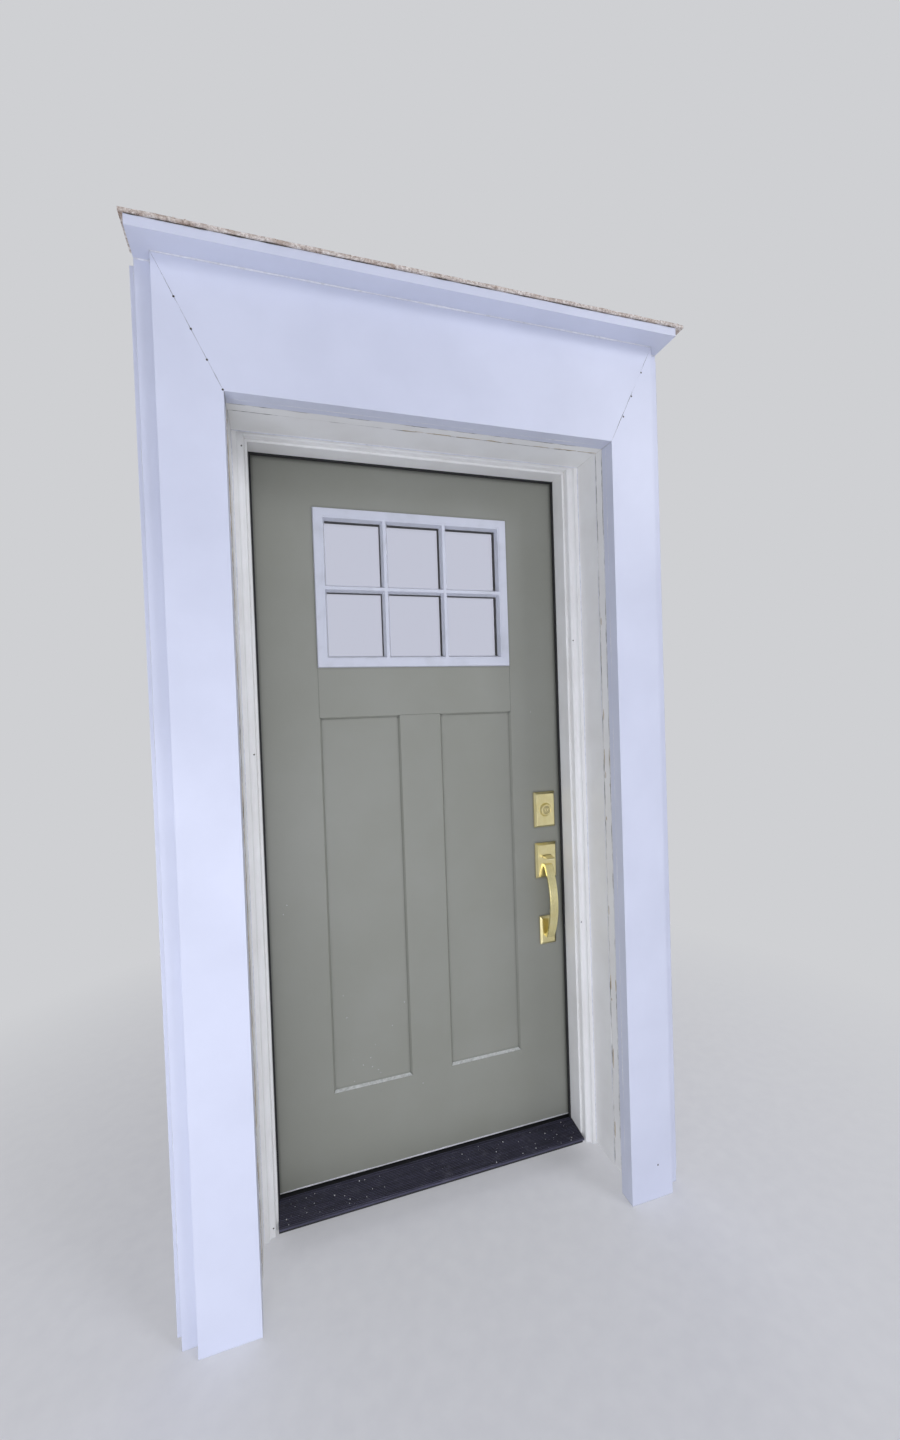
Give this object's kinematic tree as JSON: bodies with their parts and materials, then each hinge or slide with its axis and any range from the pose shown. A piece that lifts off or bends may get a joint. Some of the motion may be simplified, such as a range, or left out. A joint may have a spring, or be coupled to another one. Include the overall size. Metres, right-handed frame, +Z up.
{
  "type": "front door",
  "caption": "Inswing panelled front door with a six-light window, deadbolt and grip handle, hung in its rebated frame with lined reveal, wide casing, cap board and ribbed sill.",
  "frame": {"origin": "centre of the sill's underside, below the leaf's outer face", "axes": "+X along the wall towards the latch side, +Y into the house, +Z up"},
  "size_m": [1.3342, 0.4496, 2.3853],
  "materials": {
    "leaf_paint": "satin sage grey-green paint on pressed sheet",
    "trim_paint": "white painted boards with brushed paint and small nail holes",
    "frame_paint": "cream white painted timber",
    "bare_wood": "planed softwood",
    "foam": "rigid foam",
    "window_plastic": "white moulded frame, satin",
    "glass": "clear float glass",
    "spacer_metal": "mill finish",
    "seal_rubber": "black flexible seal",
    "sill_black": "black coated ribbed sill, dusty",
    "sill_body": "black composite",
    "satin_brass": "satin brass",
    "lock_steel": "brushed steel",
    "raw_board": "raw broken edge of cement board"
  },
  "bodies": {
    "frame": {"jamb_hinge_side": "frame_paint", "jamb_latch_side": "frame_paint", "jamb_head": "frame_paint", "weatherstrip": "seal_rubber", "brickmould_left": "frame_paint", "brickmould_right": "frame_paint", "brickmould_head": "frame_paint", "sill_base": "sill_body", "sill_deck": "sill_black", "sill_cap": "sill_body", "lining_left": "frame_paint", "lining_right": "frame_paint", "lining_head": "frame_paint", "furring_boards": "frame_paint", "back_board_left": "trim_paint", "back_board_right": "trim_paint", "back_board_head": "trim_paint", "casing_left": "trim_paint", "casing_right": "trim_paint", "casing_head": "trim_paint", "scribe_strips": "trim_paint", "cap_board": "trim_paint", "drip_cap": "raw_board", "strike_deadbolt": "satin_brass", "strike_latch": "satin_brass", "hinge_jamb_leaves": "lock_steel", "hinge_pins": "lock_steel", "frame_screws": "lock_steel"},
    "leaf": {"leaf_outer_skin": "leaf_paint", "leaf_inner_skin": "leaf_paint", "leaf_hinge_stile": "bare_wood", "leaf_lock_stile": "bare_wood", "leaf_rails": "bare_wood", "leaf_core": "foam", "window_frame_outer": "window_plastic", "window_frame_inner": "window_plastic", "pane_outer": "glass", "pane_inner": "glass", "pane_spacer": "spacer_metal", "door_sweep": "seal_rubber", "hinge_door_leaf_top": "lock_steel", "hinge_door_leaf_middle": "lock_steel", "hinge_door_leaf_bottom": "lock_steel", "leaf_screws": "lock_steel", "deadbolt_plate_outer": "satin_brass", "deadbolt_cylinder": "satin_brass", "deadbolt_case": "lock_steel", "deadbolt_plate_inner": "satin_brass", "handle_plate_upper": "satin_brass", "handle_plate_lower": "satin_brass", "handle_grip": "satin_brass", "latch_case": "lock_steel", "knob_rose": "satin_brass"},
    "inner_knob": {"inner_knob": "satin_brass"},
    "latch_bolt": {"latch_bolt": "satin_brass"},
    "thumb_piece": {"thumb_piece": "satin_brass"},
    "thumbturn": {"thumbturn": "satin_brass"},
    "deadbolt_bolt": {"deadbolt_bolt": "lock_steel"},
    "key_plug": {"key_plug": "satin_brass"}
  },
  "joints": [
    {"name": "door_swing", "type": "hinge", "parent": "frame", "child": "leaf", "pos_m": [-0.4555, 0.0525, 1.0363], "axis": [0, 0, 1], "range_deg": [0, 110]},
    {"name": "knob_turn", "type": "hinge", "parent": "leaf", "child": "inner_knob", "pos_m": [0.388, 0.06, 0.8753], "axis": [0, 1, 0], "range_deg": [0, 50]},
    {"name": "latch_slide", "type": "slide", "parent": "leaf", "child": "latch_bolt", "axis": [1, 0, 0], "range_m": [0, 0.012]},
    {"name": "thumb_press", "type": "hinge", "parent": "leaf", "child": "thumb_piece", "pos_m": [0.388, -0.005, 0.8693], "axis": [-1, 0, 0], "range_deg": [0, 15]},
    {"name": "thumbturn_turn", "type": "hinge", "parent": "leaf", "child": "thumbturn", "pos_m": [0.388, 0.05, 1.015], "axis": [0, 1, 0], "range_deg": [0, 90]},
    {"name": "deadbolt_slide", "type": "slide", "parent": "leaf", "child": "deadbolt_bolt", "axis": [1, 0, 0], "range_m": [0, 0.0254]},
    {"name": "key_turn", "type": "hinge", "parent": "leaf", "child": "key_plug", "pos_m": [0.388, 0, 1.015], "axis": [0, 1, 0], "range_deg": [0, 90]}
  ],
  "couplings": [
    {"joint": "latch_slide", "follows": "knob_turn", "m_per_rad": 0.01375},
    {"joint": "thumb_press", "follows": "knob_turn", "ratio": 0.3},
    {"joint": "deadbolt_slide", "follows": "thumbturn_turn", "m_per_rad": 0.01617},
    {"joint": "key_turn", "follows": "thumbturn_turn", "ratio": 1}
  ]
}
